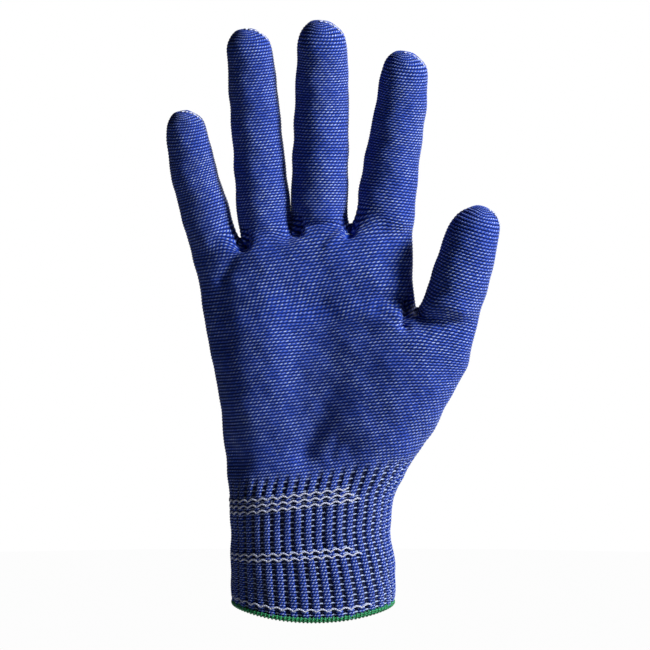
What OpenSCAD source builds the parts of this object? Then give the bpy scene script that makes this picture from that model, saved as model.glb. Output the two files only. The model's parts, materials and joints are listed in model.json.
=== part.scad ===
// Knitted cut resistant glove for a right hand, palm towards -Y, fingers up.
// The origin is the middle of the wrist opening, level with the lowest part of the hem.

/* [Glove] */
// Length from the hem to the tip of the middle finger
glove_length = 240; // [205:1:265]
// Thickness of the knitted wall
wall = 1.2; // [0.9:0.1:1.5]

/* [Cuff] */
// Height of the overlocked hem
hem_h = 2.4; // [2:0.2:3.4]
// How far the overlock thread stands out from the rib
hem_proud = 0.5; // [0.3:0.1:0.8]
// How much higher the hem rides at its sides than at the front and back
hem_lift = 5; // [0:0.5:7]
// Number of ribs round the cuff
rib_count = 42; // [36:1:46]
// How far a rib stands out from its groove
rib_depth = 0.7; // [0.4:0.1:0.9]
// Thickness of a light marker yarn
marker_d = 0.9; // [0.7:0.1:1.1]
// Thickness of a laid-in elastic yarn
elastic_d = 0.7; // [0.5:0.1:0.9]
// Number of laid-in elastic yarns
elastic_count = 7; // [4:1:8]

/* [Bends] */
// Air between two sections that turn against each other
bend_gap = 0.3; // [0.2:0.05:0.4]
// Furthest bend at the root of a finger
root_bend = 65; // [40:5:70]
// Furthest bend at the middle knuckle
knuckle_bend = 80; // [50:5:80]
// Furthest bend at the end knuckle
end_bend = 50; // [30:5:50]
// Furthest bend at the root of the thumb
thumb_root_bend = 45; // [30:5:50]
// Furthest bend at the thumb's knuckle
thumb_end_bend = 60; // [30:5:65]
// Furthest bend of the wrist, to the palm side and to the back
wrist_bend = 40; // [20:5:40]

/* [Hidden] */
FINGERS = ["index_finger", "middle_finger", "ring_finger", "little_finger"];
PIECES = ["_base", "_mid", "_tip", "_tip_closure", "_root_fold", "_knuckle_fold", "_end_fold"];

knit_blue = "#24418f";
knit_dark = "#1d3577";
marker_grey = "#b9c0d4";
elastic_grey = "#8f97ad";
hem_green = "#1a8a63";

// Every place below is for a glove of this length, and is scaled to glove_length.
drawn_length = 240;
size = glove_length / drawn_length;

ring_points = 44;      // points round a smooth section
rib_points = 4;        // points round one rib
squareness = 2.5;      // 2 is an ellipse, more is squarer
tube_fn = 36;
tip_steps = 7;         // courses drawn from a finger's side to its end
yarn_sides = 6;
over = 40;             // reach of a cutter past what it cuts
notch_spare = 1.5;     // degrees left over on each side when a bend is at its limit
under = 12;             // reach of a cutter below the lifted hem
eps = 0.05;

// Heights, from the hem up
wrist_z = 62;
thumb_crotch_z = 124;
finger_crotch_z = 156;
hem_lift_end = 40;     // the lift of the hem has died out here
crotch_slope_z = 148;  // the crotches start to rise towards the index finger here
crotch_slope = 0.14;   // rise across the hand, in mm for each mm

// Outline of the hand opening: height, little finger side, thumb side, palm side, back
body_stations = [
    [0, -32, 31.4, -20.5, 20.5],
    [11, -33.4, 33.6, -21, 21],
    [21, -33.4, 33.2, -21, 21],
    [34, -33.4, 31.2, -20.5, 20.5],
    [44, -33.8, 32, -20.5, 20],
    [51, -34.2, 33.6, -20.5, 20],
    [wrist_z, -35.2, 39.6, -20, 19],
    [73, -36.5, 47.3, -20, 18],
    [86, -37.6, 54, -20, 17],
    [100, -40.3, 61, -19.5, 16],
    [108, -41.8, 63, -18.5, 15.5],
    [116, -43.5, 63, -17, 15],
    [thumb_crotch_z, -44.6, 62, -15.5, 14.5]];
knuckle_stations = [
    [thumb_crotch_z - 20, -42, 42, -18.5, 15.5],
    [thumb_crotch_z, -44.6, 41, -15.5, 14.5],
    [136, -46.4, 40, -14.5, 14],
    [crotch_slope_z, -49.4, 40, -13, 13],
    [152, -49.8, 39, -11.5, 11.5],
    [finger_crotch_z, -47, 36, -7.5, 8]];

// How far forward the thumb side of the palm leans, by height
thumb_lean = [[wrist_z, 0], [73, 1], [86, 4], [100, 7], [108, 9], [thumb_crotch_z, 10]];

// Fingers: where each starts in the palm, then the bends at its root, middle knuckle and
// end knuckle, then the middle of its round end, and the radius at each of the last four
finger_lines = [
    [[26.6, 0, 138], [29.9, 0, 169.5], [32.5, -0.8, 189], [35.5, -3, 207.5], [36.6, -5.5, 218.4]],
    [[2.6, 0, 138], [2.6, 0, 169.5], [3, -1, 190], [3.4, -3.6, 214], [3.6, -6.6, 230.2]],
    [[-17.4, 0, 138], [-20.4, 0, 166.5], [-22.2, -1, 187], [-24.1, -3.4, 210], [-25.5, -6, 227.9]],
    [[-36.6, 0, 138], [-43.5, 0, 163], [-48, -1, 177.5], [-50.4, -2.4, 190.5], [-51, -3.6, 196.4]]];
finger_radii = [
    [11.7, 10.7, 10, 9.3],
    [11.5, 11.4, 10.7, 9.8],
    [10.7, 10, 9.8, 9],
    [9.6, 9.1, 8.6, 7.8]];
thumb_line = [[49.2, -7.5, 104], [56.6, -11, 129.5], [60.2, -13.2, 142], [64.2, -15.4, 155.6]];
thumb_radii = [11.5, 11, 9.9];

// The hinge of a bend lies this far to the palm side of the tube's middle
hinge_shift = 2;
function hinge(p) = p - [0, hinge_shift, 0];

// Light courses of the cuff: heights at its middle, and their slope up to the thumb side
lower_markers = [5.2];
middle_markers = [25.6, 28];
upper_markers = [46.6, 49, 51.4];
marker_slopes = [3, 7, 4];
marker_from = 52;      // the light yarn starts and ends short of the thumb side
marker_to = 308;
marker_points = 40;
marker_gap = 0.55;     // air between a light yarn and the ribs, which its straight stretches need
elastic_points = 40;
elastic_low = 12;
elastic_high = 48;

// A tie of a few tight stitches lies in each crotch, from the palm side to the back
tie_r = 0.8;
tie_length = 9;
finger_crotches = [-29.5, -9, 15.4];
thumb_crotch = [43, -5.6, thumb_crotch_z];

// The last course of a finger is drawn shut by a short bead of light yarn
closure_r = 0.7;
closure_length = 5;
closure_tilt = 30;

function column(table, k) = [for (row = table) [row[0], row[k]]];
function at(table, z, k) = lookup(z, column(table, k));
function curve(v) = sign(v) * pow(abs(v), 2 / squareness);
function unit(v) = v / norm(v);
function hem_rise(x, z) = hem_lift * pow(x / 33, 2) * pow(max(0, 1 - z / hem_lift_end), 2);
function crotch_rise(x, z) =
    crotch_slope * x * max(0, z - crotch_slope_z) / (finger_crotch_z - crotch_slope_z);

// The point at this angle of the hand opening at height z, taken in by inset
function rim(table, z, inset, lean, angle) =
    let (left = at(table, z, 1) + inset,
         right = at(table, z, 2) - inset,
         front = -at(table, z, 3) - inset,
         back = at(table, z, 4) - inset,
         c = curve(cos(angle)),
         s = curve(sin(angle)),
         x = (left + right) / 2 + (right - left) / 2 * c,
         forward = lean * pow(max(0, c), 2))
    [x, s * (s < 0 ? front : back) - forward, z + hem_rise(x, z) + crotch_rise(x, z)];

function section(table, z, inset, lean, count) =
    [for (i = [0 : count - 1]) rim(table, z, inset, lean, 360 * i / count)];

// A level section with ribs that stand out from the grooves
function ribbed_section(table, z) =
    let (count = rib_count * rib_points)
    [for (i = [0 : count - 1])
        let (p = rim(table, z, i % rib_points == rib_points / 2 ? rib_depth : 0, 0, 360 * i / count))
        [p[0], p[1], z]];

// A closed solid through sections that all have the same, even number of points. In a
// section that isn't level, points at equal places on the palm side and the back are level
// with each other, so its ends are flat strips.
module loft(sections, level = false) {
    n = len(sections[0]);
    m = len(sections);
    top = (m - 1) * n;
    walls = [for (k = [0 : m - 2]) for (i = [0 : n - 1]) for (t = [0, 1])
        let (j = (i + 1) % n)
        t == 0 ? [k * n + i, (k + 1) * n + i, k * n + j]
               : [k * n + j, (k + 1) * n + i, (k + 1) * n + j]];
    level_ends = [[for (i = [0 : n - 1]) i], [for (i = [n - 1 : -1 : 0]) top + i]];
    strip_ends = [for (i = [0 : n / 2 - 1]) for (t = [0, 1])
        let (a = i, b = i + 1, c = n - i - 1, d = (n - i) % n,
             strip = d == a ? [a, b, c] : b == c ? [a, b, d] : [a, b, c, d])
        t == 0 ? strip : [for (k = [len(strip) - 1 : -1 : 0]) top + strip[k]]];
    polyhedron([for (s = sections) each s], concat(level ? level_ends : strip_ends, walls), convexity = 6);
}

finger_ties = [for (x = finger_crotches) [x, 0, finger_crotch_z + crotch_rise(x, finger_crotch_z)]];

// A solid piece of the hand opening between two heights
module hand(table, low, high, inset = 0) {
    heights = concat([low], [for (row = table) if (row[0] > low + 1 && row[0] < high - 1) row[0]], [high]);
    loft([for (z = heights)
        section(table, z, inset, table == body_stations ? lookup(z, thumb_lean) : 0, ring_points)]);
}

// A round yarn through the given points, closed on itself or with flat ends
module yarn(points, d, closed) {
    n = len(points);
    last = closed ? n - 1 : n - 2;
    rings = [for (i = [0 : n - 1])
        let (before = points[closed ? (i + n - 1) % n : max(0, i - 1)],
             after = points[closed ? (i + 1) % n : min(n - 1, i + 1)],
             way = unit(after - before),
             out = unit(cross(way, [0, 0, 1])),
             up = cross(out, way))
        for (k = [0 : yarn_sides - 1])
            let (a = 360 * k / yarn_sides)
            points[i] + d / 2 * (out * cos(a) + up * sin(a))];
    sides = [for (i = [0 : last]) for (k = [0 : yarn_sides - 1]) for (t = [0, 1])
        let (i2 = (i + 1) % n, k2 = (k + 1) % yarn_sides,
             a = i * yarn_sides + k, b = i * yarn_sides + k2,
             c = i2 * yarn_sides + k, e = i2 * yarn_sides + k2)
        t == 0 ? [a, b, c] : [b, e, c]];
    caps = closed ? [] : [[for (k = [yarn_sides - 1 : -1 : 0]) k],
                          [for (k = [0 : yarn_sides - 1]) (n - 1) * yarn_sides + k]];
    polyhedron(rings, concat(sides, caps), convexity = 6);
}

// Places children with their Z along a line from p towards q
module along(p, q) {
    d = q - p;
    translate(p)
        rotate([0, acos(d[2] / norm(d)), atan2(d[1], d[0])])
            children();
}

// A tube from p to q that reaches past both ends, a knitted wall or a solid bar
module tube(p, q, rp, rq, before, after, solid = false) {
    length = norm(q - p);
    slope = (rq - rp) / length;
    low = rp - slope * before;
    high = rq + slope * after;
    along(p, q)
        rotate_extrude($fn = tube_fn)
            polygon([[solid ? 0 : low - wall, -before], [low, -before],
                     [high, length + after], [solid ? 0 : high - wall, length + after]]);
}

// A tube from p that a round end about q closes
module tip(p, q, rp, rq, before) {
    length = norm(q - p);
    slope = (rq - rp) / length;
    low = rp - slope * before;
    along(p, q)
        rotate_extrude($fn = tube_fn)
            polygon(concat(
                [[low - wall, -before], [low, -before]],
                [for (i = [0 : tip_steps]) let (a = 90 * i / tip_steps) [0, length] + rq * [cos(a), sin(a)]],
                [for (i = [tip_steps : -1 : 0])
                    let (a = 90 * i / tip_steps) [0, length] + (rq - wall) * [cos(a), sin(a)]]));
}

// The thumb bends forward and a little across the palm
thumb_reach = [-0.27, -1, 0];
thumb_up = unit(thumb_line[2] - thumb_line[1]);
thumb_towards = unit(cross(thumb_up, cross(thumb_reach, thumb_up)));
thumb_axis = cross(thumb_up, thumb_towards);
function thumb_hinge(p) = p + hinge_shift * thumb_towards;

// Frame of a bend: X along the hinge, -Y to where it folds, Z up the finger
module bend_frame(p, thumb = false) {
    x = thumb ? thumb_axis : [1, 0, 0];
    z = thumb ? thumb_up : [0, 0, 1];
    y = cross(z, x);
    multmatrix([[x[0], y[0], z[0], p[0]],
                [x[1], y[1], z[1], p[1]],
                [x[2], y[2], z[2], p[2]],
                [0, 0, 0, 1]])
        children();
}

// A bar along the hinge with the given outline, folding side to the left
module bend_bar(p, outline, thumb = false, half_width = over) {
    bend_frame(p, thumb)
        rotate([90, 0, 90])
            translate([0, 0, -half_width])
                linear_extrude(2 * half_width)
                    polygon(outline);
}

function notch_angle(bend) = bend / 2 + notch_spare;
function notch_drop(bend) = bend > 0 ? over * tan(notch_angle(bend)) : 0;

// What the lower of two sections loses at a bend: all above it, and its half of the notch
module above_bend(p, bend, thumb = false, back_bend = 0, half_width = over) {
    gap = bend_gap / 2;
    bend_bar(p, [[0, -gap], [over, -gap - notch_drop(back_bend)], [over, over],
                 [-over, over], [-over, -gap - notch_drop(bend)]], thumb, half_width);
}

// What the upper section loses: all below the bend, and its half of the notch
module below_bend(p, bend, thumb = false, back_bend = 0, half_width = over) {
    gap = bend_gap / 2;
    bend_bar(p, [[0, gap], [over, gap + notch_drop(back_bend)], [over, -over],
                 [-over, -over], [-over, gap + notch_drop(bend)]], thumb, half_width);
}

// The room in a notch for the knit that folds there
module notch(p, bend, thumb = false, half_width = over, side = -1) {
    angle = notch_angle(bend);
    start = bend_gap * (1 / cos(angle) - 1 / 2) / tan(angle);
    rise = (over - start) * tan(angle);
    bend_bar(p, [[side * start, 0], [side * over, side * rise], [side * over, -side * rise]],
             thumb, half_width);
}

// ---- cuff ----

module rib_cuff() {
    heights = [0, 11, 21, 34, 44, 51, wrist_z + 1];
    color(knit_blue)
        difference() {
            loft([for (z = heights) ribbed_section(body_stations, z)], level = true);
            hand(body_stations, -under, hem_h + eps, -hem_proud - 2);
            hand(body_stations, -under, wrist_z + 2, wall + rib_depth);
            above_bend([0, 0, wrist_z], wrist_bend, false, wrist_bend, 2 * over);
        }
}

module hem_overlock() {
    color(hem_green)
        difference() {
            hand(body_stations, 0, hem_h, -hem_proud);
            hand(body_stations, -1, hem_h + 1, wall + rib_depth);
        }
}

// Elastic is laid against the inner face of the rib
module elastic_yarns() {
    inset = wall + rib_depth + elastic_d / 2 + eps;
    step = (elastic_high - elastic_low) / (elastic_count - 1);
    color(elastic_grey)
        for (i = [0 : elastic_count - 1])
            yarn(section(body_stations, elastic_low + i * step, inset, 0, elastic_points), elastic_d, true);
}

// A light course lies over the ribs, nearly all the way round
module marker_yarns(heights, slope) {
    color(marker_grey)
        for (z = heights)
            yarn([for (i = [0 : marker_points])
                    let (p = rim(body_stations, z, -marker_d / 2 - marker_gap, 0,
                                 marker_from + (marker_to - marker_from) * i / marker_points))
                    p + [0, 0, p[0] * tan(slope) * min(1, z / hem_lift_end + 0.4)]],
                 marker_d, false);
}

// ---- hand ----

// The knit that folds at the wrist, on the palm side and on the back
module wrist_folds() {
    color(knit_dark)
        intersection() {
            difference() {
                hand(body_stations, wrist_z - 12, wrist_z + 12);
                hand(body_stations, wrist_z - 13, wrist_z + 13, wall);
            }
            union() {
                notch([0, 0, wrist_z], wrist_bend, false, 2 * over, -1);
                notch([0, 0, wrist_z], wrist_bend, false, 2 * over, 1);
            }
        }
}

module palm_knit() {
    color(knit_blue)
        difference() {
            union() {
                hand(body_stations, wrist_z - 1, thumb_crotch_z);
                difference() {
                    tube(thumb_line[0], thumb_line[1], thumb_radii[0], thumb_radii[0], 0, 6, true);
                    above_bend(thumb_hinge(thumb_line[1]), thumb_root_bend, true);
                }
            }
            hand(body_stations, wrist_z - 2, thumb_crotch_z - wall, wall);
            hand(knuckle_stations, thumb_crotch_z - 14, thumb_crotch_z + 2, wall);
            tube(thumb_line[0], thumb_line[1], thumb_radii[0] - wall, thumb_radii[0] - wall, 8, 14, true);
            below_bend([0, 0, wrist_z], wrist_bend, false, wrist_bend, 2 * over);
            tie_rod(thumb_crotch, tie_r + eps, tie_length + 2 * eps);
        }
}

module finger_stub(line, r) {
    difference() {
        tube(line[0], line[1], r[0], r[0], 0, 6, true);
        above_bend(hinge(line[1]), root_bend, false, 0, r[0] + 2);
    }
}

module knuckle_knit() {
    color(knit_blue)
        difference() {
            union() {
                hand(knuckle_stations, thumb_crotch_z + eps, finger_crotch_z);
                for (i = [0 : 3])
                    finger_stub(finger_lines[i], finger_radii[i]);
            }
            hand(knuckle_stations, thumb_crotch_z - 1, finger_crotch_z - 6, wall);
            for (i = [0 : 3])
                let (line = finger_lines[i], r = finger_radii[i][0] - wall)
                tube(line[0], line[1], r, r, 0, 14, true);
            for (p = finger_ties)
                tie_rod(p, tie_r + eps, tie_length + 2 * eps);
        }
}

// A round bar from the palm side to the back that lies on the crotch at p
module tie_rod(p, r, length) {
    translate(p + [0, 0, tie_r + eps])
        rotate([90, 0, 0])
            cylinder(h = length, r = r, center = true, $fn = 16);
}

module crotch_ties() {
    color(knit_dark)
        for (p = concat(finger_ties, [thumb_crotch]))
            tie_rod(p, tie_r, tie_length);
}

// ---- fingers ----

module finger_base(line, r) {
    color(knit_blue)
        difference() {
            tube(line[1], line[2], r[0], r[1], 6, 6);
            below_bend(hinge(line[1]), root_bend);
            above_bend(hinge(line[2]), knuckle_bend);
        }
}

module finger_mid(line, r) {
    color(knit_blue)
        difference() {
            tube(line[2], line[3], r[1], r[2], 6, 6);
            below_bend(hinge(line[2]), knuckle_bend);
            above_bend(hinge(line[3]), end_bend);
        }
}

module finger_tip(line, r) {
    color(knit_blue)
        difference() {
            tip(line[3], line[4], r[2], r[3], 6);
            below_bend(hinge(line[3]), end_bend);
        }
}

// The knit that folds at a finger's root, middle knuckle or end knuckle, from 0 up
module finger_fold(line, r, k) {
    bends = [root_bend, knuckle_bend, end_bend];
    color(knit_dark)
        intersection() {
            tube(line[k + 1], line[k + 2], r[k], r[k + 1], 13, 6);
            notch(hinge(line[k + 1]), bends[k]);
        }
}

module thumb_base() {
    color(knit_blue)
        difference() {
            tube(thumb_line[1], thumb_line[2], thumb_radii[0], thumb_radii[1], 6, 6);
            below_bend(thumb_hinge(thumb_line[1]), thumb_root_bend, true);
            above_bend(thumb_hinge(thumb_line[2]), thumb_end_bend, true);
        }
}

module thumb_tip() {
    color(knit_blue)
        difference() {
            tip(thumb_line[2], thumb_line[3], thumb_radii[1], thumb_radii[2], 6);
            below_bend(thumb_hinge(thumb_line[2]), thumb_end_bend, true);
        }
}

module thumb_fold(k) {
    bends = [thumb_root_bend, thumb_end_bend];
    color(knit_dark)
        intersection() {
            tube(thumb_line[k + 1], thumb_line[k + 2], thumb_radii[k], thumb_radii[k + 1], 10, 8);
            notch(thumb_hinge(thumb_line[k + 1]), bends[k], true);
        }
}

module tip_closure(centre, r) {
    color(marker_grey)
        translate(centre)
            rotate([0, closure_tilt, 0])
                translate([0, 0, r + closure_r + eps])
                    rotate([0, 90, 0])
                        cylinder(h = closure_length, r = closure_r, center = true, $fn = 16);
}

scale(size) rib_cuff();
scale(size) hem_overlock();
scale(size) elastic_yarns();
scale(size) marker_yarns(lower_markers, marker_slopes[0]);  // lower_marker_yarn
scale(size) marker_yarns(middle_markers, marker_slopes[1]);  // middle_marker_yarns
scale(size) marker_yarns(upper_markers, marker_slopes[2]);  // upper_marker_yarns
scale(size) wrist_folds();
scale(size) palm_knit();
scale(size) knuckle_knit();
scale(size) crotch_ties();
for (i = [0 : 3])
    let (name = FINGERS[i], line = finger_lines[i], r = finger_radii[i]) {
        scale(size) finger_base(line, r);
        scale(size) finger_mid(line, r);
        scale(size) finger_tip(line, r);
        scale(size) tip_closure(line[4], r[3]);
        scale(size) finger_fold(line, r, 0);
        scale(size) finger_fold(line, r, 1);
        scale(size) finger_fold(line, r, 2);
    }
scale(size) thumb_base();
scale(size) thumb_tip();
scale(size) tip_closure(thumb_line[3], thumb_radii[2]);  // thumb_tip_closure
scale(size) thumb_fold(0);  // thumb_root_fold
scale(size) thumb_fold(1);  // thumb_knuckle_fold
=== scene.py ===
import json
import math

import bpy
import numpy as np
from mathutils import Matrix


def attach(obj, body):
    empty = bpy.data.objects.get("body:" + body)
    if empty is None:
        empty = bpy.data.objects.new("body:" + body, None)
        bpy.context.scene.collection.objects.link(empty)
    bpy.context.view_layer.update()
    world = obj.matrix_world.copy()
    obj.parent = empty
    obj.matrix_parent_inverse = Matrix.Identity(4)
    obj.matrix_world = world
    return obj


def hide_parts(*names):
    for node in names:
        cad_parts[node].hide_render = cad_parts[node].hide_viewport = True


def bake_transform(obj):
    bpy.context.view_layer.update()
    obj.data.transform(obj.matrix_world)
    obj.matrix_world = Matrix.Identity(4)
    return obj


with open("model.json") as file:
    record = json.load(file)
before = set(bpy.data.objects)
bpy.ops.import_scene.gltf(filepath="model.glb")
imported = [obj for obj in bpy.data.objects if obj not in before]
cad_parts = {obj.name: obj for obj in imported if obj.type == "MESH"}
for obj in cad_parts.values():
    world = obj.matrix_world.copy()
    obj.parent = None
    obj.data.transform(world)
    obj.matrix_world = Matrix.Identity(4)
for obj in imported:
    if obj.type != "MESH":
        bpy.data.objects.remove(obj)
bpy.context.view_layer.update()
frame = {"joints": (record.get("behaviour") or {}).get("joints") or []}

# ---- Camera, floor and lights ----
# The glove stands palm forward with its fingers up, in a white studio over a pale floor. A
# long lens a metre away looks two degrees down on it. The main light rakes across the palm
# from the thumb side, a weak one fills in from the front, and a third lights the edges.
bpy.ops.object.select_all(action="DESELECT")
bpy.ops.object.camera_add(location=(0.0047, -0.9994, 0.1525), rotation=(math.radians(88), 0, 0))
camera = bpy.context.object
camera.name = "camera"
camera.data.sensor_width = 36
camera.data.lens = 136.8
bpy.context.scene.camera = camera


class Shade:
    """One output of a shader node. Arithmetic on it lays down Math nodes."""

    def __init__(self, tree, socket):
        self.tree = tree
        self.socket = socket

    def node(self, kind, settings, inputs, output=0):
        made = self.tree.nodes.new(kind)
        for name, value in settings.items():
            setattr(made, name, value)
        for name, value in inputs.items():
            if isinstance(value, Shade):
                self.tree.links.new(value.socket, made.inputs[name])
            else:
                made.inputs[name].default_value = value
        return Shade(self.tree, made.outputs[output])

    def math(self, operation, first, second=0.0):
        return self.node("ShaderNodeMath", {"operation": operation}, {0: first, 1: second})

    def __add__(self, other):
        return self.math("ADD", self, other)

    def __sub__(self, other):
        return self.math("SUBTRACT", self, other)

    def __mul__(self, other):
        return self.math("MULTIPLY", self, other)

    def __rsub__(self, other):
        return self.math("SUBTRACT", other, self)

    __radd__ = __add__
    __rmul__ = __mul__

    def rise(self, low, high):
        """0 below low and 1 above high, with a smooth rise between."""
        return self.node("ShaderNodeMapRange", {"interpolation_type": "SMOOTHSTEP"},
                         {"Value": self, "From Min": low, "From Max": high})

    def blend(self, low, high):
        """The colour low where this is 0, and high where it is 1."""
        return self.node("ShaderNodeMix", {"data_type": "RGBA"}, {0: self, 6: low, 7: high}, 2)


def dye(red, green, blue):
    """A colour of 0 to 255 as paint charts give it, as the shader's linear colour."""
    linear = [c / 12.92 if c <= 0.04045 else ((c + 0.055) / 1.055) ** 2.4
              for c in (red / 255, green / 255, blue / 255)]
    return (*linear, 1)


def new_material(name):
    """An empty principled material, and a Shade to start its expressions from."""
    material = bpy.data.materials.new(name)
    material.use_nodes = True
    shader = material.node_tree.nodes["Principled BSDF"]
    return material, shader, Shade(material.node_tree, None)


bpy.ops.object.select_all(action="DESELECT")
bpy.ops.mesh.primitive_circle_add(vertices=64, radius=3, fill_type="NGON",
                                  location=(0, 0, -0.35))
floor = bpy.context.object
floor.name = "floor"
floor_paint, shader, start = new_material("floor_paint")
shader.inputs["Base Color"].default_value = (0.6, 0.6, 0.6, 1)
shader.inputs["Roughness"].default_value = 0.9
seen = start.node("ShaderNodeLightPath", {}, {})
glow = start.node("ShaderNodeEmission", {}, {"Color": (0.98, 0.98, 0.98, 1)})
matt = Shade(start.tree, shader.outputs[0])
paint = start.node("ShaderNodeMixShader", {}, {0: seen, 1: matt, 2: glow})
floor_output = floor_paint.node_tree.nodes["Material Output"]
floor_paint.node_tree.links.new(paint.socket, floor_output.inputs["Surface"])
floor.data.materials.append(floor_paint)

world = bpy.data.worlds.new("studio")
world.use_nodes = True
studio = Shade(world.node_tree, None)
seen = studio.node("ShaderNodeLightPath", {}, {})
background = world.node_tree.nodes["Background"]
background.inputs["Color"].default_value = (1, 1, 1, 1)
world.node_tree.links.new((seen * 0.99 + 0.01).socket, background.inputs["Strength"])
bpy.context.scene.world = world
bpy.context.scene.view_settings.view_transform = "Standard"

LIGHTS = [
    # name, place, aim, size, power
    ("key_light", (0.93, -0.44, 0.62), (0.0, 0.0, 0.12), 0.25, 21.5),
    ("fill_light", (-0.25, -1.20, 0.45), (0.0, 0.0, 0.12), 0.45, 0.35),
    ("back_light", (0.35, 1.10, 0.70), (0.0, 0.0, 0.12), 0.60, 12.0),
]
for name, place, aim, across, power in LIGHTS:
    bpy.ops.object.light_add(type="AREA", location=place)
    lamp = bpy.context.object
    lamp.name = name
    lamp.data.size = across
    lamp.data.energy = power
    towards = np.array(aim) - np.array(place)
    lamp.rotation_euler = (math.acos(-towards[2] / np.linalg.norm(towards)), 0,
                           math.atan2(towards[1], towards[0]) - math.pi / 2)

# ---- Knitted hand and cuff ----
# One tube of knit makes the whole glove: it is ribbed at the cuff, widens over the palm,
# and divides into the fingers and the thumb, with no seam. It is shaped here as a coarse
# cage with four stitches to each cell, smoothed four times, and given its stitches.
MM = 0.001                # lengths below are in millimetres until a mesh is made
JOINTS = {joint["name"]: joint for joint in frame["joints"]}
FINGERS = ["index_finger", "middle_finger", "ring_finger", "little_finger"]


def bend_place(name):
    """Where the axis of a joint is."""
    return np.array(JOINTS[name]["pos_m"], float) / MM


# The hand's outline: height, then how far its little finger side, thumb side, palm and back are
HAND = np.array([
    [0, -32, 31.4, 20.5, 20.5], [11, -33.4, 33.6, 21, 21], [21, -33.4, 33.2, 21, 21],
    [34, -33.4, 31.2, 20.5, 20.5], [44, -33.8, 32, 20.5, 20], [51, -34.2, 33.6, 20.5, 20],
    [62, -35.2, 39.6, 20, 19], [73, -36.5, 47.3, 20, 18], [86, -37.6, 54, 20, 17],
    [100, -40.3, 61.3, 19.5, 16], [108, -41.8, 63.4, 18.5, 15.5], [116, -43.5, 65.3, 17.2, 15],
    [124, -44.6, 67.5, 16.2, 14.5], [130, -45.4, 69, 16, 14.5]])
# The same for the four fingers' part of the hand, above the thumb's crotch
KNUCKLES = np.array([
    [116, -43.5, 42, 17, 15], [124, -44.6, 41, 15.5, 14.5], [136, -46.4, 40, 14.5, 14],
    [148, -49.6, 40, 13.4, 13], [156, -51.5, 40, 12.8, 12.4]])
# Height, and how far the thumb side leans forward there
THUMB_LEAN = np.array([[62, 0], [73, 1], [86, 4], [100, 7], [108, 9], [124, 10]])
squareness = 2.5          # 2 is an ellipse, more is squarer

cell = 4                  # stitches along each side of a cage cell
cuff_rows = 13
palm_rows = 11
knuckle_rows = 7
wrist_height = 62
thumb_crotch_height = 118.5
finger_crotch_height = 156
course_slope = 0.13       # the courses climb towards the thumb side
hem_lift = 5
hem_lift_end = 40
rib_twist = 0.075         # the lower ends of the ribs lean to the thumb side by this share
rib_twist_end = 34        # from this height down
thumb_crotch = (42, -3.8, 124.3)
thumb_crotch_front = (42, -13.5, 121.3)
thumb_crotch_back = (42, 7.0, 121.8)
finger_crotch_x = (15.4, -9.0, -29.5)
around_hand = 34          # cells round the hand: 15 palm, 2 thumb side, 15 back, 2 little side
half_round = around_hand // 2
finger_cells = 10         # 3 front, 2 side, 3 back, 2 side
course_step = 4.6         # about how high a row of finger cells is
finger_wales = 200        # each finger counts its wales from its own multiple of this
thumb_wales = 1000
thumb_from = 20.5         # the knit of the thumb starts this far up its line


def smooth(t):
    """0 below 0 and 1 above 1, with a smooth rise between."""
    t = np.clip(t, 0, 1)
    return t * t * (3 - 2 * t)


def row_height(height, x):
    """Where a course that is named by its height at the middle lies at x."""
    lift = hem_lift * (x / 33) ** 2 * np.clip(1 - height / hem_lift_end, 0, 1) ** 2
    slope = course_slope * smooth(height / 45)
    droop = 8 * smooth((height - 70) / 45) * (np.clip(x - 20, 0, None) / 42) ** 2
    return height + lift + slope * x - droop


def outline(table, z, angle):
    """The hand's outline at height z. Angle runs from the little finger side over the palm."""
    left, right, front, back = (np.interp(z, table[:, 0], table[:, k]) for k in (1, 2, 3, 4))
    c = -np.cos(angle)
    s = -np.sin(angle)
    c = np.sign(c) * np.abs(c) ** (2 / squareness)
    s = np.sign(s) * np.abs(s) ** (2 / squareness)
    lean = np.interp(z, THUMB_LEAN[:, 0], THUMB_LEAN[:, 1]) if table is HAND else 0
    x = (left + right) / 2 + (right - left) / 2 * c
    return x, s * np.where(s < 0, front, back) - lean * np.clip(c, 0, None) ** 2


fine_angles = np.linspace(0, 2 * math.pi, 721)


def girth(table, height):
    """Way round the outline so far at each fine angle, from 0 to 1 over the palm, to 2 at the end."""
    x, y = outline(table, height, fine_angles)
    way = np.concatenate([[0], np.cumsum(np.hypot(np.diff(x), np.diff(y)))])
    half = len(way) // 2
    palm = way[:half + 1] / way[half]
    back = 1 + (way[half:] - way[half]) / (way[-1] - way[half])
    return x, np.concatenate([palm, back[1:]])


def share_at(table, height, x):
    """How far round the palm side the outline reaches x."""
    xs, way = girth(table, height)
    half = len(xs) // 2
    return np.interp(x, xs[:half + 1], way[:half + 1])


def course(table, height, shares):
    """Points of a course at these shares of the way round: 0 to 1 on the palm, 1 to 2 on the back."""
    way = girth(table, height)[1]
    twist = rib_twist * np.clip(1 - height / rib_twist_end, 0, 1) ** 1.5
    shares = shares + twist * np.sin(math.pi * shares / 2) ** 2
    angle = np.interp(shares, way, fine_angles)
    z = np.full(len(angle), float(height))
    for _ in range(6):
        x, y = outline(table, z, angle)
        z = row_height(height, x)
    return np.stack([x, y, z], 1)


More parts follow.
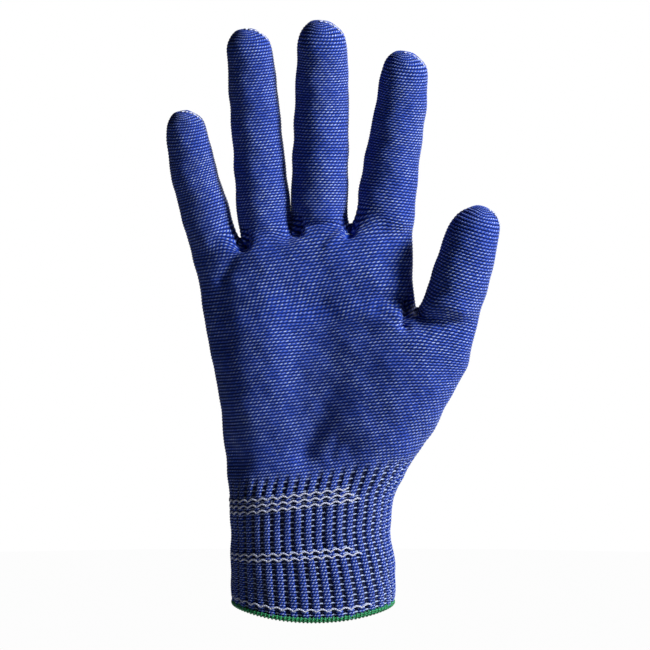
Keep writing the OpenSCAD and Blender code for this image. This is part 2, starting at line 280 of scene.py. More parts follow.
class Line:
    """The middle line of a finger through its bends, and its radius along the way."""

    def __init__(self, start, bends, tip, radii, skew):
        points = [np.array(start, float), *bends, np.array(tip, float)]
        steps = [np.linalg.norm(b - a) for a, b in zip(points, points[1:])]
        self.at_bend = np.cumsum(steps)[:-1]
        self.length = sum(steps)
        self.radii = radii
        self.skew = skew
        reach = 15            # the line runs on past both ends, so that it can be eased there
        points.insert(0, points[0] + (points[0] - points[1]) * reach / steps[0])
        points.append(points[-1] + (points[-1] - points[-2]) * reach / steps[-1])
        self.places = np.array([-reach, 0, *np.cumsum(steps), self.length + reach])
        self.points = np.array(points)

    def middle(self, s):
        """The point at s, with the corners at the bends eased."""
        spread = [s - 5, s, s + 5]
        return np.mean([[np.interp(t, self.places, self.points[:, k]) for k in range(3)]
                        for t in spread], 0)

    def up(self, s):
        """The way that the line runs at s."""
        way = self.middle(s + 4) - self.middle(s - 4)
        return way / np.linalg.norm(way)

    def radius(self, s):
        return np.interp(s, [*self.at_bend, self.length], self.radii)

    def ring(self, s, dome=0.0):
        """Ten points: four over the front, the far side, four over the back, the near side.

        With a dome angle they lie on the round end that starts at s."""
        up = self.up(s)
        side = np.array([1.0, 0, 0]) - up[0] * up
        side /= np.linalg.norm(side)
        front = np.cross(side, up)
        r = self.radius(s)
        turns = np.radians([144, 108, 72, 36, 0, -36, -72, -108, -144, 180])
        middle = self.middle(s) + up * self.end_height() * math.sin(dome)
        middle += side * self.skew * r * (1 - math.cos(dome))
        return [middle + r * math.cos(dome) * (math.cos(a) * side + math.sin(a) * front) for a in turns]

    def shoulder(self):
        """Where the straight part ends and the round end starts."""
        return self.length - 0.12 * self.radii[-1]

    def end_height(self):
        return 1.12 * self.radii[-1]


finger_skew = -0.22       # the round ends lean sideways by this share of the radius
thumb_skew = 0.22
tube_middle = np.array([0, 2, 0])   # a bend's hinge lies this far to the palm side of the middle
FINGER_STARTS = [(26.6, 0, 138), (2.6, 0, 138), (-17.4, 0, 138), (-36.6, 0, 138)]
FINGER_TIPS = [(36.6, -5.5, 218.4), (3.6, -6.6, 230.2), (-25.5, -6, 227.9), (-51, -3.6, 196.4)]
FINGER_RADII = [(11.7, 10.9, 10.1, 9.3), (11.5, 11.2, 10.7, 9.8),
                (10.9, 10.2, 9.8, 9.0), (9.8, 9.2, 8.6, 7.8)]
LINES = {
    name: Line(start, [bend_place(name + bend) + tube_middle for bend in ("_root", "_knuckle", "_end")],
               tip, radii, finger_skew)
    for name, start, tip, radii in zip(FINGERS, FINGER_STARTS, FINGER_TIPS, FINGER_RADII)}
thumb_start = np.array([49.2, -7.5, 104])
thumb_tip = np.array([64.2, -15.4, 155.6])
thumb_way = (thumb_tip - thumb_start) / np.linalg.norm(thumb_tip - thumb_start)
thumb_bends = [thumb_start + thumb_way * np.dot(bend_place(name) - thumb_start, thumb_way)
               for name in ("thumb_root", "thumb_knuckle")]
LINES["thumb"] = Line(thumb_start, thumb_bends, thumb_tip, (11.7, 11.4, 10.2), thumb_skew)

fold_share = 1.4          # a bend of one radian is spread over this share of the radius


def half_fold(line_name, k):
    """Half the length of knit that a bend is spread over."""
    joint = ("_root", "_knuckle", "_end")[k]
    angle = math.radians(JOINTS[line_name + joint]["range_deg"][1])
    return (LINES[line_name].radii[k] - 2) * angle / fold_share


cage = []                 # points of the cage
cells = []                # its four-sided cells
stitches = []             # wale and course at each corner of each cell
owners = []               # which piece each cell belongs to


def lay(points):
    """Adds points to the cage, and says which numbers they have."""
    first = len(cage)
    cage.extend(np.asarray(p, float) for p in points)
    return list(range(first, len(cage)))


def knit(lower, upper, wales, first_course, owner):
    """A row of cells between two rounds of points. Wales has the first wale of each cell."""
    n = len(lower)
    for k in range(n):
        j = (k + 1) % n
        cells.append((lower[k], lower[j], upper[j], upper[k]))
        stitches.append([(wales[k], first_course), (wales[k] + cell, first_course),
                         (wales[k] + cell, first_course + cell), (wales[k], first_course + cell)])
        owners.append(owner)


def hand_shares(height):
    """Shares of the way round for the 34 points: palm, thumb side, back, little finger side."""
    at_crotch = share_at(HAND, thumb_crotch_height, thumb_crotch[0])
    mix = smooth((height - wrist_height) / (thumb_crotch_height - wrist_height))
    crotch = (1 - mix) * 13 / half_round + mix * at_crotch
    palm = np.interp(np.arange(1, 17), [0, 13, half_round], [0, crotch, 1])
    return np.concatenate([palm, [1], (2 - palm)[::-1], [2]])


def knuckle_shares(height):
    """The same for the 28 points of a course above the thumb."""
    mix = smooth((height - thumb_crotch_height) / (finger_crotch_height - thumb_crotch_height) * 1.3)
    ends = [0] + [(1 - mix) * k / 14 + mix * share_at(KNUCKLES, height, x)
                  for k, x in zip((4, 7, 10), reversed(finger_crotch_x))] + [1]
    palm = np.interp(np.arange(1, 14), [0, 4, 7, 10, 14], ends)
    return np.concatenate([palm, [1], (2 - palm)[::-1], [2]])


cuff_end = 9              # rows of cells that stay with the cuff
wrist_end = 17            # rows where the bend of the wrist has ended
hand_rows = cuff_rows + palm_rows
heights = np.concatenate([np.linspace(0, wrist_height, cuff_rows + 1),
                          np.linspace(wrist_height, thumb_crotch_height, palm_rows + 1)[1:]])
hand_wales = [cell * k for k in range(around_hand)]
rounds = []
for row, height in enumerate(heights):
    points = course(HAND, height, hand_shares(height))
    if row == hand_rows:
        points[12] = thumb_crotch_front
        points[20] = thumb_crotch_back
    if row == hand_rows - 1:
        points[12] += (0, 1.6, 0)
    rounds.append(lay(points))
for row in range(hand_rows):
    owner = "cuff_skin" if row < cuff_end else "wrist_skin" if row < wrist_end else "palm_skin"
    knit(rounds[row], rounds[row + 1], hand_wales, row * cell, owner)

top = rounds[-1]
crotch_middle = lay([thumb_crotch])[0]
below = top[:13] + [crotch_middle] + top[20:]
knuckle_wales = hand_wales[:14] + hand_wales[20:]   # the six columns between go up the thumb
knuckle_heights = np.linspace(thumb_crotch_height, finger_crotch_height, knuckle_rows + 1)[1:]


def crotch_round():
    """The course that the four fingers stand on, with a short line of knit in each crotch."""
    rings = {}
    for name in FINGERS:
        line = LINES[name]
        near = [s for s in np.linspace(5, 40, 141)
                if line.middle(s)[2] <= row_height(finger_crotch_height, line.middle(s)[0])]
        rings[name] = (near[-1], line.ring(near[-1]))
    front = [None] * 13
    back = [None] * 13
    for i, name in enumerate(FINGERS):
        ring = rings[name][1]
        first = 9 - 3 * i
        for k in range(4):
            front[first + k] = ring[k]
            back[first + k] = ring[8 - k]
    middles = []
    for k, x in zip((9, 6, 3), finger_crotch_x):
        z = row_height(finger_crotch_height, x)
        front[k] = np.array([x, -8.6, z - 2.0])
        back[k] = np.array([x, 8.6, z - 1.8])
        middles.append(np.array([x, 0, z + 0.4]))
    outer = rings["index_finger"][1][4]
    inner = rings["little_finger"][1][9]
    starts = {name: ring[0] for name, ring in rings.items()}
    return front + [outer] + back[::-1] + [inner], middles, starts


top_points, crotch_points, finger_starts_at = crotch_round()
for row, height in enumerate(knuckle_heights):
    if row == knuckle_rows - 1:
        above = lay(top_points)
    else:
        above = lay(course(KNUCKLES, height, knuckle_shares(height)))
    knit(below, above, knuckle_wales, (hand_rows + row) * cell, "knuckle_skin")
    below = above
crotch_between = lay(crotch_points)


def grow(name, first_round, start, pieces, first_wale, first_course, ease=0.0):
    """Knits a finger up from a round of ten points and draws its end shut.

    Pieces has, for each piece from the root up, where it ends on the line, and its name. With
    an ease of 1 the slant of the first round is shared out over the rows of the first piece."""
    line = LINES[name]
    lower = first_round
    wales = [first_wale + cell * k for k in range(finger_cells)]
    at = first_course
    for end, owner in pieces:
        rows = max(1, round((end - start) / course_step))
        step = (end - start) / rows
        up = line.up(start + step)
        ring = line.ring(start + step)
        slants = [ease * (np.dot(point - cage[i], up) - step) for i, point in zip(lower, ring)]
        ease = 0.0
        for k in range(rows):
            ring = line.ring(start + step * (k + 1))
            left = 1 - (k + 1) / rows
            upper = lay([point - up * slant * left for point, slant in zip(ring, slants)])
            knit(lower, upper, wales, at, owner)
            lower = upper
            at += cell
        start = end
    for dome in (30, 60):
        upper = lay(line.ring(line.shoulder(), math.radians(dome)))
        knit(lower, upper, wales, at, owner)
        lower = upper
        at += cell
    edge = [cage[i] for i in lower]
    peak = sum(edge) / len(edge) + line.up(line.length) * line.end_height() * 0.125
    across = (edge[4] - edge[9]) / 6
    near, far = lay([peak - across, peak + across])
    front = lower[0:4]
    back = lower[8:4:-1]
    seam = [lower[9], near, far, lower[4]]
    for k in range(3):
        wale = wales[k]
        cells.append((front[k], front[k + 1], seam[k + 1], seam[k]))
        stitches.append([(wale, at), (wale + cell, at), (wale + cell, at + cell), (wale, at + cell)])
        wale = wales[8 - k]
        cells.append((seam[k], seam[k + 1], back[k + 1], back[k]))
        stitches.append([(wale, at + cell), (wale - cell, at + cell), (wale - cell, at), (wale, at)])
        owners.extend([owner, owner])


finger_course = (hand_rows + knuckle_rows) * cell
knuckle_front = above[:13]
knuckle_back = above[14:27][::-1]
for i, name in enumerate(FINGERS):
    first = 9 - 3 * i
    line = LINES[name]
    far = above[13] if i == 0 else crotch_between[i - 1]
    near = above[27] if i == 3 else crotch_between[i]
    around = (knuckle_front[first:first + 4] + [far]
              + knuckle_back[first:first + 4][::-1] + [near])
    folds = [half_fold(name, k) for k in range(3)]
    splits = [(line.at_bend[k] + folds[k] + line.at_bend[k + 1] - folds[k + 1]) / 2 for k in (0, 1)]
    grow(name, around, finger_starts_at[name],
         [(splits[0], name + "_root_skin"), (splits[1], name + "_knuckle_skin"),
          (line.shoulder(), name + "_end_skin")],
         finger_wales * (i + 1), finger_course)
line = LINES["thumb"]
thumb_round = top[12:16] + [top[16]] + top[17:21] + [crotch_middle]
thumb_fold = [half_fold("thumb", k) for k in range(2)]
thumb_split = (line.at_bend[0] + thumb_fold[0] + line.at_bend[1] - thumb_fold[1]) / 2
grow("thumb", thumb_round, thumb_from,
     [(thumb_split, "thumb_root_skin"), (line.shoulder(), "thumb_end_skin")],
     thumb_wales, hand_rows * cell, 1.0)


def edges_of(faces, count):
    """Each edge once as a key, the edge of each face side, and how many faces use it."""
    ends = np.stack([faces, np.roll(faces, -1, 1)], 2).reshape(-1, 2)
    sides = ends.min(1) * count + ends.max(1)
    keys, which, uses = np.unique(sides, return_inverse=True, return_counts=True)
    return keys, which.reshape(-1, 4), uses


def sums(size, index, values):
    """Adds up values at their index."""
    return np.stack([np.bincount(index, values[:, k], size) for k in range(values.shape[1])], 1)


def limit_places(points, faces):
    """Where the points of a cage end up once it has been smoothed for ever."""
    n = len(points)
    keys, which, uses = edges_of(faces, n)
    a, b = keys // n, keys % n
    valence = np.bincount(np.concatenate([a, b]), minlength=n)[:, None]
    beside = sums(n, np.concatenate([a, b]), np.concatenate([points[b], points[a]]))
    across = sums(n, faces.ravel(), points[np.roll(faces, 2, 1)].reshape(-1, 3))
    inside = (valence ** 2 * points + 4 * beside + across) / (valence * (valence + 5))
    rim = uses == 1
    ra, rb = a[rim], b[rim]
    rim_beside = sums(n, np.concatenate([ra, rb]), np.concatenate([points[rb], points[ra]]))
    on_rim = np.unique(np.concatenate([ra, rb]))
    inside[on_rim] = (4 * points[on_rim] + rim_beside[on_rim]) / 6
    return inside


def refine(points, faces, marks):
    """One round of smoothing. New points on edges follow the old points, then those in faces."""
    n = len(points)
    keys, which, uses = edges_of(faces, n)
    a, b = keys // n, keys % n
    centres = points[faces].mean(1)
    middles = (points[a] + points[b]) / 2
    beside = sums(len(keys), which.ravel(), np.repeat(centres, 4, 0)) / uses[:, None]
    rim = uses == 1
    on_edges = np.where(rim[:, None], middles, (middles + beside) / 2)
    both = np.concatenate([a, b])
    valence = np.bincount(both, minlength=n)[:, None]
    faces_at = np.bincount(faces.ravel(), minlength=n)[:, None]
    face_mean = sums(n, faces.ravel(), np.repeat(centres, 4, 0)) / faces_at
    edge_mean = sums(n, both, np.concatenate([middles, middles])) / valence
    moved = (face_mean + 2 * edge_mean + (valence - 3) * points) / valence
    ra, rb = a[rim], b[rim]
    rim_mean = sums(n, np.concatenate([ra, rb]), np.concatenate([points[rb], points[ra]])) / 2
    on_rim = np.unique(np.concatenate([ra, rb]))
    moved[on_rim] = (3 * points[on_rim] + rim_mean[on_rim]) / 4
    side = which + n
    middle = np.arange(len(faces)) + n + len(keys)
    before = np.roll(side, 1, 1)
    small = np.stack([np.stack([faces[:, k], side[:, k], middle, before[:, k]], 1)
                      for k in range(4)], 1)
    mark_middle = marks.mean(1)
    mark_side = (marks + np.roll(marks, -1, 1)) / 2
    mark_before = np.roll(mark_side, 1, 1)
    small_marks = np.stack([np.stack([marks[:, k], mark_side[:, k], mark_middle, mark_before[:, k]], 1)
                            for k in range(4)], 1)
    return (np.concatenate([moved, on_edges, centres]), small.reshape(-1, 4),
            small_marks.reshape(-1, 4, 2), keys)


def point_normals(points, faces):
    """Outward direction at each point, from the faces around it."""
    p = points[faces]
    normals = np.cross(p[:, 2] - p[:, 0], p[:, 3] - p[:, 1])
    total = sums(len(points), faces.ravel(), np.repeat(normals, 4, 0))
    return total / np.linalg.norm(total, axis=1)[:, None]


goal = np.array(cage)
faces = np.array(cells)
marks = np.array(stitches, float)
shape = goal.copy()
for _ in range(12):           # the cage is pushed out until its smoothed points lie where they should
    shape += 0.9 * (goal - limit_places(shape, faces))
smoothings = 4
lining_level = 2              # the lining is plain, so it needs only the faces of this round
face_levels = [faces]         # the faces before the first round and after each
edge_levels = []              # the edges that each round split, and how many points there were
for _ in range(smoothings):
    count = len(shape)
    shape, faces, marks, keys = refine(shape, faces, marks)
    face_levels.append(faces)
    edge_levels.append((keys, count))

# The hand inside pushes the knit out and lets it sink in soft creases on the palm.
# Each crease: where it starts and ends (x, z), depth and half width.
CREASES = [
    ((-28.4, 151.6), (-36.7, 136.8), 1.3, 2.7),
    ((-28.6, 155.5), (-27.8, 150.0), 2.6, 2.0),
    ((-7.2, 161.0), (-6.8, 155.5), 3.0, 2.0),
    ((14.6, 161.0), (14.2, 155.0), 3.2, 2.0),
    ((-5.4, 158.3), (12.6, 158.6), 1.1, 1.3),
    ((13.6, 157.0), (5.6, 150.0), -0.9, 1.6),
    ((38.6, 128.5), (36.6, 118.0), 3.2, 1.9),
    ((25.1, 124.2), (35.0, 118.2), 0.6, 1.6),
    ((28.0, 129.0), (36.5, 123.0), 0.5, 1.5),
    ((41.8, 124.0), (50.4, 118.4), 0.7, 1.9),
    ((-1.0, 120.0), (-4.0, 76.0), 4.8, 16.0),
    ((5.0, 84.0), (-3.6, 66.0), 1.6, 4.5),
    ((9.9, 72.5), (7.2, 65.0), 0.6, 2.0),
    ((-32.0, 63.5), (14.0, 64.5), 3.0, 9.5),
]
SWELLS = [
    # middle (x, z), half width, half height, how far out
    ((-17, 112), 13, 26, 1.8),
    ((27, 136), 11, 10, 1.4),
    ((38, 98), 15, 20, 2.4),
    ((-37, 118), 5, 22, -1.2),
]


def crease_depth(x, z):
    """How far the creases and swells take the palm in at x and z."""
    total = np.zeros(len(x))
    for (x0, z0), (x1, z1), depth, width in CREASES:
        way = np.array([x1 - x0, z1 - z0])
        along = np.clip(((x - x0) * way[0] + (z - z0) * way[1]) / way.dot(way), 0, 1)
        gap = np.hypot(x - x0 - along * way[0], z - z0 - along * way[1])
        total += depth * np.exp(-(gap / width) ** 2)
    for (x0, z0), wide, high, out in SWELLS:
        total -= out * np.exp(-((x - x0) / wide) ** 2 - ((z - z0) / high) ** 2)
    return total


rib_count = 42
course_sway = 0.10        # how far a course swings up and down in each stitch
wales_around = cell * around_hand
rib_top_course = 46.0     # the ribs die away from here
rib_end_course = 52.0

base = shape
outward = point_normals(base, faces)
palm_side = smooth(-outward[:, 1] * 1.6)
base = base - outward * (palm_side * crease_depth(base[:, 0], base[:, 2]))[:, None]
x, y, z = base.T
slack = (0.30 * np.sin(x * 0.31 + z * 0.23) * np.sin(z * 0.17 - x * 0.11)
         + 0.10 * np.sin(x * 0.9 + y * 0.7) * np.sin(z * 0.53))
base = base + outward * slack[:, None]
outward = point_normals(base, faces)

wale = np.zeros(len(base))
row = np.zeros(len(base))
wale[faces.ravel()] = marks[..., 0].ravel()
row[faces.ravel()] = marks[..., 1].ravel()
tau = 2 * math.pi
ribbing = 1 - smooth((row - rib_top_course) / (rib_end_course - rib_top_course))
sway = course_sway * np.sin(tau * wale)
ridge = np.cos(tau * (row + sway))
plain = 0.15 * ridge * (0.8 + 0.2 * np.cos(tau * wale))
rib_wave = np.cos(tau * rib_count * wale / wales_around)
groove = smooth((0.25 - rib_wave) / 0.8)
rung = np.clip(np.cos(math.pi * row), 0, None)
ribbed = -0.85 * groove + 0.4 * groove * rung + 0.12 * ridge * (1 - groove)
relief = plain * (1 - ribbing) + ribbed * ribbing
skin = base + outward * relief[:, None]
skin_normals = point_normals(skin, faces)
wall = 1.0
lining = base - outward * (wall + 0.9 * ribbing)[:, None]


def edge_point(level, a, b):
    """The point that smoothing put on the edge from a to b of this level."""
    keys, n = edge_levels[level]
    return n + int(np.searchsorted(keys, min(a, b) * n + max(a, b)))


def stitched_piece(name):
    """The outer skin of one piece with its plain lining, closed along their edges."""
    coarse = np.array([i for i, owner in enumerate(owners) if owner == name])
    fine = (coarse[:, None] * 4 ** smoothings + np.arange(4 ** smoothings)).ravel()
    loose = (coarse[:, None] * 4 ** lining_level + np.arange(4 ** lining_level)).ravel()
    outer = faces[fine]
    inner = face_levels[lining_level][loose]
    used, outer_index = np.unique(outer, return_inverse=True)
    inner_used, inner_index = np.unique(inner, return_inverse=True)
    outer_index = outer_index.reshape(-1, 4)
    inner_index = inner_index.reshape(-1, 4) + len(used)
    place = {int(v): i for i, v in enumerate(used)}
    inner_place = {int(v): i + len(used) for i, v in enumerate(inner_used)}
    sides = np.stack([inner, np.roll(inner, -1, 1)], 2).reshape(-1, 2)
    seen = {(int(a), int(b)) for a, b in sides}
    walls = []
    for a, b in sorted(seen):
        if (b, a) not in seen:
            m = edge_point(lining_level, a, b)
            chain = [b, edge_point(lining_level + 1, m, b), m, edge_point(lining_level + 1, a, m), a]
            walls.append([place[v] for v in chain] + [inner_place[a], inner_place[b]])
    points = np.concatenate([skin[used], lining[inner_used]]) * MM
    loops = np.concatenate([outer_index.ravel(), inner_index[:, ::-1].ravel(),
                            np.array(walls, int).ravel()])
    totals = np.concatenate([np.full(len(outer) + len(inner), 4), np.full(len(walls), 7)])
    mesh = bpy.data.meshes.new(name)
    mesh.vertices.add(len(points))
    mesh.vertices.foreach_set("co", points.ravel().astype(np.float32))
    mesh.loops.add(len(loops))
    mesh.loops.foreach_set("vertex_index", loops.astype(np.int32))
    mesh.polygons.add(len(totals))
    mesh.polygons.foreach_set("loop_start", (np.cumsum(totals) - totals).astype(np.int32))
    mesh.update(calc_edges=True)
    inner_marks = np.repeat(marks.reshape(-1, 4 ** (smoothings - lining_level), 4, 2)[loose, 0, 0], 4, 0)
    flat = np.concatenate([marks[fine].reshape(-1, 2), inner_marks,
                           np.repeat([[0.5, 0.0]], 7 * len(walls), 0)])
    mesh.uv_layers.new(name="stitches").data.foreach_set("uv", flat.ravel().astype(np.float32))
    mesh.shade_smooth()
    normals = np.concatenate([skin_normals[used], -outward[inner_used]])
    mesh.normals_split_custom_set_from_vertices(normals)
    piece = bpy.data.objects.new(name, mesh)
    bpy.context.scene.collection.objects.link(piece)
    return piece


yarn_blue = dye(5, 58, 174)
# Painted shade: a deep navy for the gaps between the courses, where shade falls.
course_gap_shade = dye(1, 8, 58)
yarn_fleck = dye(184, 202, 240)
# Painted shade: a near black blue for the grooves between the ribs.
rib_groove_shade = dye(2, 7, 40)


def knit_material(name, ribbed):
    """Blue yarn plied with a grey white filament that comes up as short dashes in each course. Painted
    shade darkens the gaps between the courses, and on the ribbed cuff the grooves between the ribs.
    """
    material, shader, start = new_material(name)
    uv = start.node("ShaderNodeUVMap", {"uv_map": "stitches"}, {})
    wale = start.node("ShaderNodeSeparateXYZ", {}, {0: uv}, 0)
    row = start.node("ShaderNodeSeparateXYZ", {}, {0: uv}, 1)
    sway = start.math("SINE", wale * tau) * course_sway
    swayed = row + sway
    line_number = start.math("FLOOR", swayed + 0.5)
    across = swayed - line_number
    off_line = start.math("ABSOLUTE", across) * 2
    shifted = wale + start.math("FLOORED_MODULO", line_number, 2.0) * 0.5
    stitch_number = start.math("FLOOR", shifted)
    along = shifted - stitch_number - 0.5
    number = start.node("ShaderNodeCombineXYZ", {}, {0: stitch_number, 1: line_number})
    chance = start.node("ShaderNodeTexWhiteNoise", {"noise_dimensions": "2D"}, {"Vector": number})
    place = start.node("ShaderNodeTexCoord", {}, {}, 3)
    cloud = start.node("ShaderNodeTexNoise", {}, {"Vector": place, "Scale": 70.0, "Detail": 2.0})
    patch = cloud.rise(0.3, 0.7)
    strand = 1 - off_line.rise(0.3, 1.0)
    lens = ((1 - start.math("ABSOLUTE", along).rise(0.12, 0.45))
            * (1 - start.math("ABSOLUTE", row - line_number - along * 0.4 - 0.05).rise(0.03, 0.24)))
    fleck = lens * (chance * 0.75 + 0.3) * (patch * 0.5 + 0.6)
    # Painted shade: the blue darkens to deep navy in the gap between two courses, away from the strand.
    tone = strand.blend(course_gap_shade, yarn_blue)
    tone = fleck.blend(tone, yarn_fleck)
    height = strand * 0.6 + lens * 0.3
    if ribbed:
        fade = 1 - row.rise(rib_top_course, rib_end_course)
        wave = start.math("COSINE", wale * (tau * rib_count / wales_around))
        groove = (0.0 - wave).rise(0.16, 0.74)
        rung = start.math("COSINE", row * math.pi + wave * 0.5).rise(0.7, 1.0)
        tone = (lens * fade * 0.4).blend(tone, yarn_fleck)
        # Painted shade: the grooves between the ribs are darkened towards near black blue, fading out
        # where the ribs end.
        tone = (groove * fade * 0.9).blend(tone, rib_groove_shade)
        tone = ((0.0 - wave).rise(0.35, 0.85) * rung * fade).blend(tone, yarn_fleck)
    fibre_place = start.node("ShaderNodeCombineXYZ", {}, {0: wale * 2.3, 1: row * 9.0, 2: 0.0})
    fibre = start.node("ShaderNodeTexNoise", {}, {"Vector": fibre_place, "Scale": 1.0, "Detail": 3.0})
    bump = start.node("ShaderNodeBump", {},
                      {"Strength": 0.7, "Distance": 0.00025, "Height": height + fibre * 0.35})
    for socket, value in (("Base Color", tone), ("Normal", bump)):
        material.node_tree.links.new(value.socket, shader.inputs[socket])
    shader.inputs["Roughness"].default_value = 0.85
    shader.inputs["Specular IOR Level"].default_value = 0.25
    shader.inputs["Sheen Weight"].default_value = 0.18
    shader.inputs["Sheen Roughness"].default_value = 0.4
    shader.inputs["Sheen Tint"].default_value = (0.6, 0.7, 1.0, 1)
    return material


rib_material = knit_material("ribbed_knit", True)
hand_material = knit_material("plain_knit", False)

cuff_skin = stitched_piece("cuff_skin")
cuff_skin.data.materials.append(rib_material)
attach(cuff_skin, "cuff")
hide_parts("rib_cuff")

wrist_skin = stitched_piece("wrist_skin")
wrist_skin.data.materials.append(rib_material)
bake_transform(wrist_skin)
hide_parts("wrist_folds")

for name, node in (("palm_skin", "palm_knit"), ("knuckle_skin", "knuckle_knit")):
    piece = stitched_piece(name)
    piece.data.materials.append(hand_material)
    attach(piece, "hand")
    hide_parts(node)


def bend_with(piece, line_name, k):
    """Works out the span of the bend k of a finger, which is not used, and bakes the placement of the
    piece that covers it into its mesh.
    """
    line = LINES[line_name]
    s = line.at_bend[k]
    up = line.up(s)
    half = half_fold(line_name, k)
    tuple((line.middle(s) - up * half) * MM)
    tuple((line.middle(s) + up * half) * MM)
    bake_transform(piece)


for name in FINGERS:
    bodies = ["hand", name + "_base", name + "_mid", name + "_tip"]
    for k, part in enumerate(("root", "knuckle", "end")):
        piece = stitched_piece(f"{name}_{part}_skin")
        piece.data.materials.append(hand_material)
        bend_with(piece, name, k)
        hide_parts(bodies[k + 1], f"{name}_{part}_fold")
bodies = ["hand", "thumb_base", "thumb_tip"]
for k, (part, fold) in enumerate((("root", "thumb_root_fold"), ("end", "thumb_knuckle_fold"))):
    piece = stitched_piece(f"thumb_{part}_skin")
    piece.data.materials.append(hand_material)
    bend_with(piece, "thumb", k)
    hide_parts(bodies[k + 1], fold)

# ---- Light marker courses ----
# Courses of pale yarn are knitted into the cuff, nearly all the way round. Each one lies
# over the ribs and arches over every gap between two ribs.


yarn_sides = 6


def spin(name, strands, radius):
    """Yarns as tubes in one mesh. A strand is its points, outward directions, and if it's a ring."""
    points, polygons, coordinates = [], [], []
    for path, out, closed in strands:
        path = np.asarray(path, float)
        n = len(path)
        if closed:
            way = np.roll(path, -1, 0) - np.roll(path, 1, 0)
        else:
            way = np.gradient(path, axis=0)
        way /= np.linalg.norm(way, axis=1)[:, None]
        out = np.asarray(out, float)
        out = out - way * (out * way).sum(1)[:, None]
        out /= np.linalg.norm(out, axis=1)[:, None]
        side = np.cross(way, out)
        turns = tau * np.arange(yarn_sides) / yarn_sides
        first = len(points)
        rings = (path[:, None] + radius * (np.cos(turns)[None, :, None] * side[:, None]
                                           + np.sin(turns)[None, :, None] * out[:, None]))
        points.extend(rings.reshape(-1, 3))
        steps = np.linalg.norm(np.diff(path, axis=0), axis=1)
        run = np.concatenate([[0], np.cumsum(steps)]) / (2 * radius)
        for i in range(n if closed else n - 1):
            j = (i + 1) % n
            end = run[j] if j else run[-1] + (run[-1] - run[-2])
            here, there = first + i * yarn_sides, first + j * yarn_sides
            for k in range(yarn_sides):
                m = (k + 1) % yarn_sides
                polygons.append((here + k, there + k, there + m, here + m))
                low, high = k / yarn_sides, (k + 1) / yarn_sides
                coordinates.extend([(run[i], low), (end, low), (end, high), (run[i], high)])
        if not closed:
            last = first + (n - 1) * yarn_sides
            polygons.append(tuple(first + k for k in range(yarn_sides)))
            polygons.append(tuple(last + k for k in reversed(range(yarn_sides))))
            coordinates.extend([(0, 0)] * (2 * yarn_sides))
    mesh = bpy.data.meshes.new(name)
    mesh.from_pydata(np.array(points) * MM, [], polygons)
    mesh.uv_layers.new(name="twist").data.foreach_set("uv", np.array(coordinates, np.float32).ravel())
    mesh.shade_smooth()
    piece = bpy.data.objects.new(name, mesh)
    bpy.context.scene.collection.objects.link(piece)
    return piece


def yarn_material(name, light, dark, twist, roughness):
    """Plied yarn: slanting light and dark bands round it, with fine fibres."""
    material, shader, start = new_material(name)
    uv = start.node("ShaderNodeUVMap", {"uv_map": "twist"}, {})
    along = start.node("ShaderNodeSeparateXYZ", {}, {0: uv}, 0)
    around = start.node("ShaderNodeSeparateXYZ", {}, {0: uv}, 1)
    ply = start.math("SINE", (along * twist + around) * (2 * tau)).rise(-0.8, 0.6)
    fluff = start.node("ShaderNodeTexNoise", {}, {"Vector": uv, "Scale": 6.0, "Detail": 3.0})
    tone = (ply * (fluff.rise(0.2, 0.7) * 0.4 + 0.6)).blend(dark, light)
    bump = start.node("ShaderNodeBump", {},
                      {"Strength": 0.6, "Distance": 0.00012, "Height": ply + fluff * 0.5})
    for socket, value in (("Base Color", tone), ("Normal", bump)):
        material.node_tree.links.new(value.socket, shader.inputs[socket])
    shader.inputs["Roughness"].default_value = roughness
    shader.inputs["Sheen Weight"].default_value = 0.2
    return material


def cuff_path(height, wales, out, rise):
    """Points over the cuff at these wales, moved out and up by so much, and the outward direction."""
    place = wales / cell + 1
    shares = np.where(place <= half_round, place / half_round, 1 + (place - half_round) / half_round)
    points = course(HAND, height, shares)
    before = course(HAND, height, np.clip(shares - 0.002, 0, 2))
    after = course(HAND, height, np.clip(shares + 0.002, 0, 2))
    way = after - before
    normal = np.cross(way, [0, 0, 1.0])
    normal /= np.linalg.norm(normal, axis=1)[:, None]
    moved = points + normal * np.reshape(out, (-1, 1)) + [0, 0, 1] * np.reshape(rise, (-1, 1))
    return moved, normal


marker_material = yarn_material("pale_yarn", dye(234, 238, 250), dye(160, 170, 214), 0.35, 0.8)
MARKERS = [("lower_marker_yarn", [4.4]), ("middle_marker_yarns", [25.4, 27.8]),
           ("upper_marker_yarns", [46.4, 48.8, 51.2])]
marker_first = -16.3      # the ribs where the pale yarn starts and ends, short of the thumb side
marker_last = 13.9
marker_radius = 0.34
for name, marker_heights in MARKERS:
    strands = []
    for k, height in enumerate(marker_heights):
        ribs = np.arange(marker_first + 0.6 * k, marker_last - 0.7 * k, 1 / 12)
        ribs = np.mod(ribs, rib_count)
        gap = 0.5 - 0.5 * np.cos(tau * ribs)
        wales = ribs * wales_around / rib_count
        wales = np.where(wales > wales_around - cell, wales - wales_around, wales)
        path, out = cuff_path(height, wales, 0.05 - 0.1 * gap, 1.0 * np.sqrt(gap) - 0.5)
        strands.append((path, out, False))
    piece = spin(name + "_stitches", strands, marker_radius)
    piece.data.materials.append(marker_material)
    if name == "upper_marker_yarns":
        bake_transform(piece)
    else:
        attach(piece, "cuff")
    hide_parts(name)

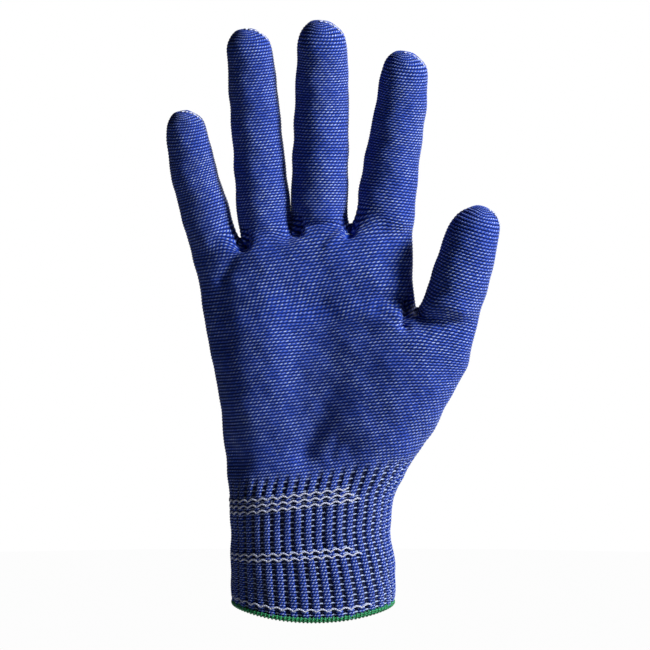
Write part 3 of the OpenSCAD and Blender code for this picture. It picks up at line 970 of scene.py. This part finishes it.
# ---- Elastic yarns ----
# Covered elastic is laid in behind the ribs, a ring every six millimetres, so the cuff
# grips the wrist. It shows only inside the opening.
elastic_material = yarn_material("covered_elastic", dye(150, 158, 178), dye(70, 78, 104), 0.6, 0.7)
strands = []
elastic_depth = 2.35      # from the middle of the knit to the middle of the elastic
elastic_wales = np.linspace(-cell, wales_around - cell, 4 * rib_count + 1)[:-1]
for height in np.linspace(12, 48, 7):
    path, out = cuff_path(height, elastic_wales, -elastic_depth, 0.0)
    strands.append((path, out, True))
piece = spin("elastic_rings", strands, 0.35)
piece.data.materials.append(elastic_material)
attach(piece, "cuff")
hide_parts("elastic_yarns")

# ---- Overlocked hem ----
# Green thread is sewn over the raw edge of the cuff: it winds round the edge, over five
# threads that run along the edge's foot, its outside and its inside.
hem_material = yarn_material("green_thread", dye(0, 172, 98), dye(0, 66, 40), 0.5, 0.6)
hem_stitches = 120
wales = np.linspace(-cell, wales_around - cell, hem_stitches * 12 + 1)[:-1]
turn = tau * hem_stitches * (wales + cell) / wales_around
path, out = cuff_path(0.0, wales, 1.0 * np.cos(turn) - 0.55, 0.55 + 0.9 * np.sin(turn))
strands = [(path, out, True)]
core_wales = np.linspace(-cell, wales_around - cell, 281)[:-1]
for depth, rise in ((-0.55, 0.1), (0.0, 1.0), (0.05, 0.4), (-1.1, 1.0), (-1.1, 0.4)):
    path, out = cuff_path(0.0, core_wales, depth, rise)
    strands.append((path, out, True))
piece = spin("hem_stitching", strands, 0.42)
piece.data.materials.append(hem_material)
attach(piece, "cuff")
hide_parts("hem_overlock")

# ---- Crotch ties ----
# Four tight stitches close each corner between two fingers, and the one between thumb and
# palm. They are sewn with the hand's own blue yarn, and each one arches over the corner.
tie_material = yarn_material("tie_yarn", dye(40, 66, 150), dye(8, 14, 60), 0.4, 0.85)
strands = []
tie_places = [np.array([x, 0.0, row_height(finger_crotch_height, x) - 0.3]) for x in finger_crotch_x]
tie_places.append(np.array(thumb_crotch) - [0, 0, 0.5])
for middle in tie_places:
    for shift in (-3.0, -1.0, 1.0, 3.0):
        t = np.linspace(-1, 1, 9)
        arc = np.stack([1.5 * t, shift + 0.4 * t, 0.75 - 1.1 * t ** 2], 1) + middle
        out = np.stack([0.5 * t, 0 * t, 0 * t + 1], 1)
        strands.append((arc, out, False))
piece = spin("crotch_tie_stitches", strands, 0.45)
piece.data.materials.append(tie_material)
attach(piece, "hand")
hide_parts("crotch_ties")

# ---- Closing stitches ----
# The last course of each finger is drawn shut with pale yarn: a short zigzag that lies on
# the round end, on its thumb side.
for name, line in LINES.items():
    s = line.shoulder()
    up, r = line.up(s), line.radius(s)
    side = np.array([1.0, 0, 0]) - up[0] * up
    side /= np.linalg.norm(side)
    front = np.cross(side, up)
    t = np.linspace(0, 1, 41)
    drop = np.radians(4 + 58 * t)
    path = (line.middle(s) + np.outer(np.cos(drop) * line.end_height(), up)
            + np.outer(r * (np.sin(drop) + line.skew * (1 - np.sin(drop))), side))
    weave = 0.09 * np.sin(tau * 6 * t) + 0.20
    outs = np.outer(np.cos(drop), up) + np.outer(np.sin(drop), side) + np.outer(weave, front)
    path += np.outer(weave * r, front)
    piece = spin(name + "_closing_stitches", [(path - 0.15 * outs, outs, False)], 0.3)
    piece.data.materials.append(marker_material)
    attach(piece, name + "_tip")
    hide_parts(name + "_tip_closure")
